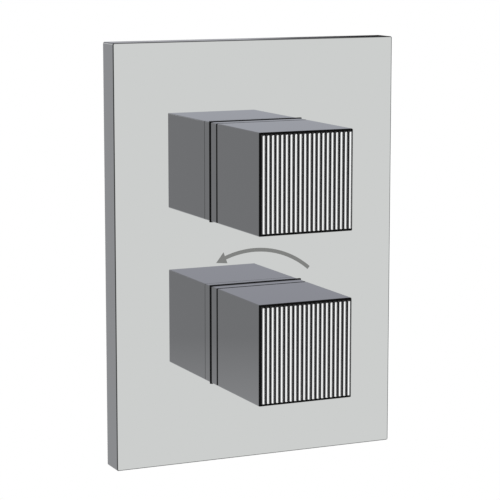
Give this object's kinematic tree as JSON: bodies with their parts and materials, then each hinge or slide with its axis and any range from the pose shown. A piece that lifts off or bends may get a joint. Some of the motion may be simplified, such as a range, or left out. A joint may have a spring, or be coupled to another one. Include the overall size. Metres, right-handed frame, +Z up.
{
  "type": "shower valve",
  "caption": "Concealed thermostatic shower valve: a rectangular chrome wall plate with stacked square ribbed knobs for flow and heat, on a brass body with threaded inlets and an outlet.",
  "frame": {"origin": "midway between the two fixing holes, on the back of the body's lugs", "axes": "+Z up, +X to the right as seen from the room, +Y into the wall, so the knobs point to -Y"},
  "size_m": [0.1444, 0.1685, 0.2008],
  "materials": {
    "chrome": "polished",
    "bright_ribs": "satin",
    "black_front": "satin",
    "rubber": "matte",
    "foam": "matte",
    "brass": "satin",
    "steel": "satin",
    "acetal": "satin",
    "fibre": "matte",
    "ceramic": "satin"
  },
  "bodies": {
    "valve": {"check_valve_cages": "acetal", "cold_check_spring": "steel", "cold_inlet_union": "brass", "flow_base_seal": "rubber", "flow_fixed_disc": "ceramic", "flow_housing": "acetal", "flow_stop_ring": "acetal", "hot_check_spring": "steel", "hot_inlet_union": "brass", "housing_seals": "rubber", "inlet_strainers": "steel", "lower_bonnet": "brass", "lower_collar": "chrome", "lower_gasket": "black_front", "lower_sleeve": "chrome", "neck_seals": "rubber", "outlet_union": "brass", "plate_gasket": "foam", "plate_lock_rings": "brass", "return_spring": "steel", "sleeve_nuts": "brass", "temperature_stop_ring": "acetal", "thermostat_housing": "acetal", "union_washers": "fibre", "upper_bonnet": "brass", "upper_collar": "chrome", "upper_gasket": "black_front", "upper_sleeve": "chrome", "valve_body": "brass", "wall_plate": "chrome"},
    "flow_knob": {"upper_skirt": "chrome", "upper_knob": "chrome", "upper_fluted_face": "bright_ribs", "upper_inlay": "black_front", "upper_adaptor": "acetal", "upper_grub_screw": "steel", "flow_spindle": "brass", "flow_moving_disc": "ceramic", "flow_stem_seal": "rubber"},
    "temperature_knob": {"lower_skirt": "chrome", "lower_knob": "chrome", "lower_fluted_face": "bright_ribs", "lower_inlay": "black_front", "lower_adaptor": "acetal", "lower_grub_screw": "steel", "temperature_spindle": "brass", "temperature_stem_seal": "rubber"},
    "regulator": {"regulating_nut": "brass", "push_cap": "brass", "cap_clip": "steel", "overload_spring": "steel", "thermostat_element": "brass", "thermostat_shuttle": "acetal", "shuttle_seal": "rubber"},
    "hot_check": {"hot_check_poppet": "acetal"},
    "cold_check": {"cold_check_poppet": "acetal"}
  },
  "joints": [
    {"name": "flow_turn", "type": "hinge", "parent": "valve", "child": "flow_knob", "pos_m": [0, -0.14, 0.03675], "axis": [0, -1, 0], "range_deg": [0, 90]},
    {"name": "temperature_turn", "type": "hinge", "parent": "valve", "child": "temperature_knob", "pos_m": [0, -0.14, -0.03675], "axis": [0, -1, 0], "range_deg": [-180, 60]},
    {"name": "regulator_slide", "type": "slide", "parent": "valve", "child": "regulator", "axis": [0, -1, 0], "range_m": [-0.0021, 0.0007], "deforming": ["return_spring"]},
    {"name": "hot_check_lift", "type": "slide", "parent": "valve", "child": "hot_check", "axis": [0, 0, 1], "range_m": [0, 0.003], "stiffness_N_per_m": 60, "springref_m": -0.002, "deforming": ["hot_check_spring"]},
    {"name": "cold_check_lift", "type": "slide", "parent": "valve", "child": "cold_check", "axis": [0, 0, 1], "range_m": [0, 0.003], "stiffness_N_per_m": 60, "springref_m": -0.002, "deforming": ["cold_check_spring"]}
  ],
  "couplings": [
    {"joint": "regulator_slide", "follows": "temperature_turn", "m_per_rad": 0.00063662}
  ]
}
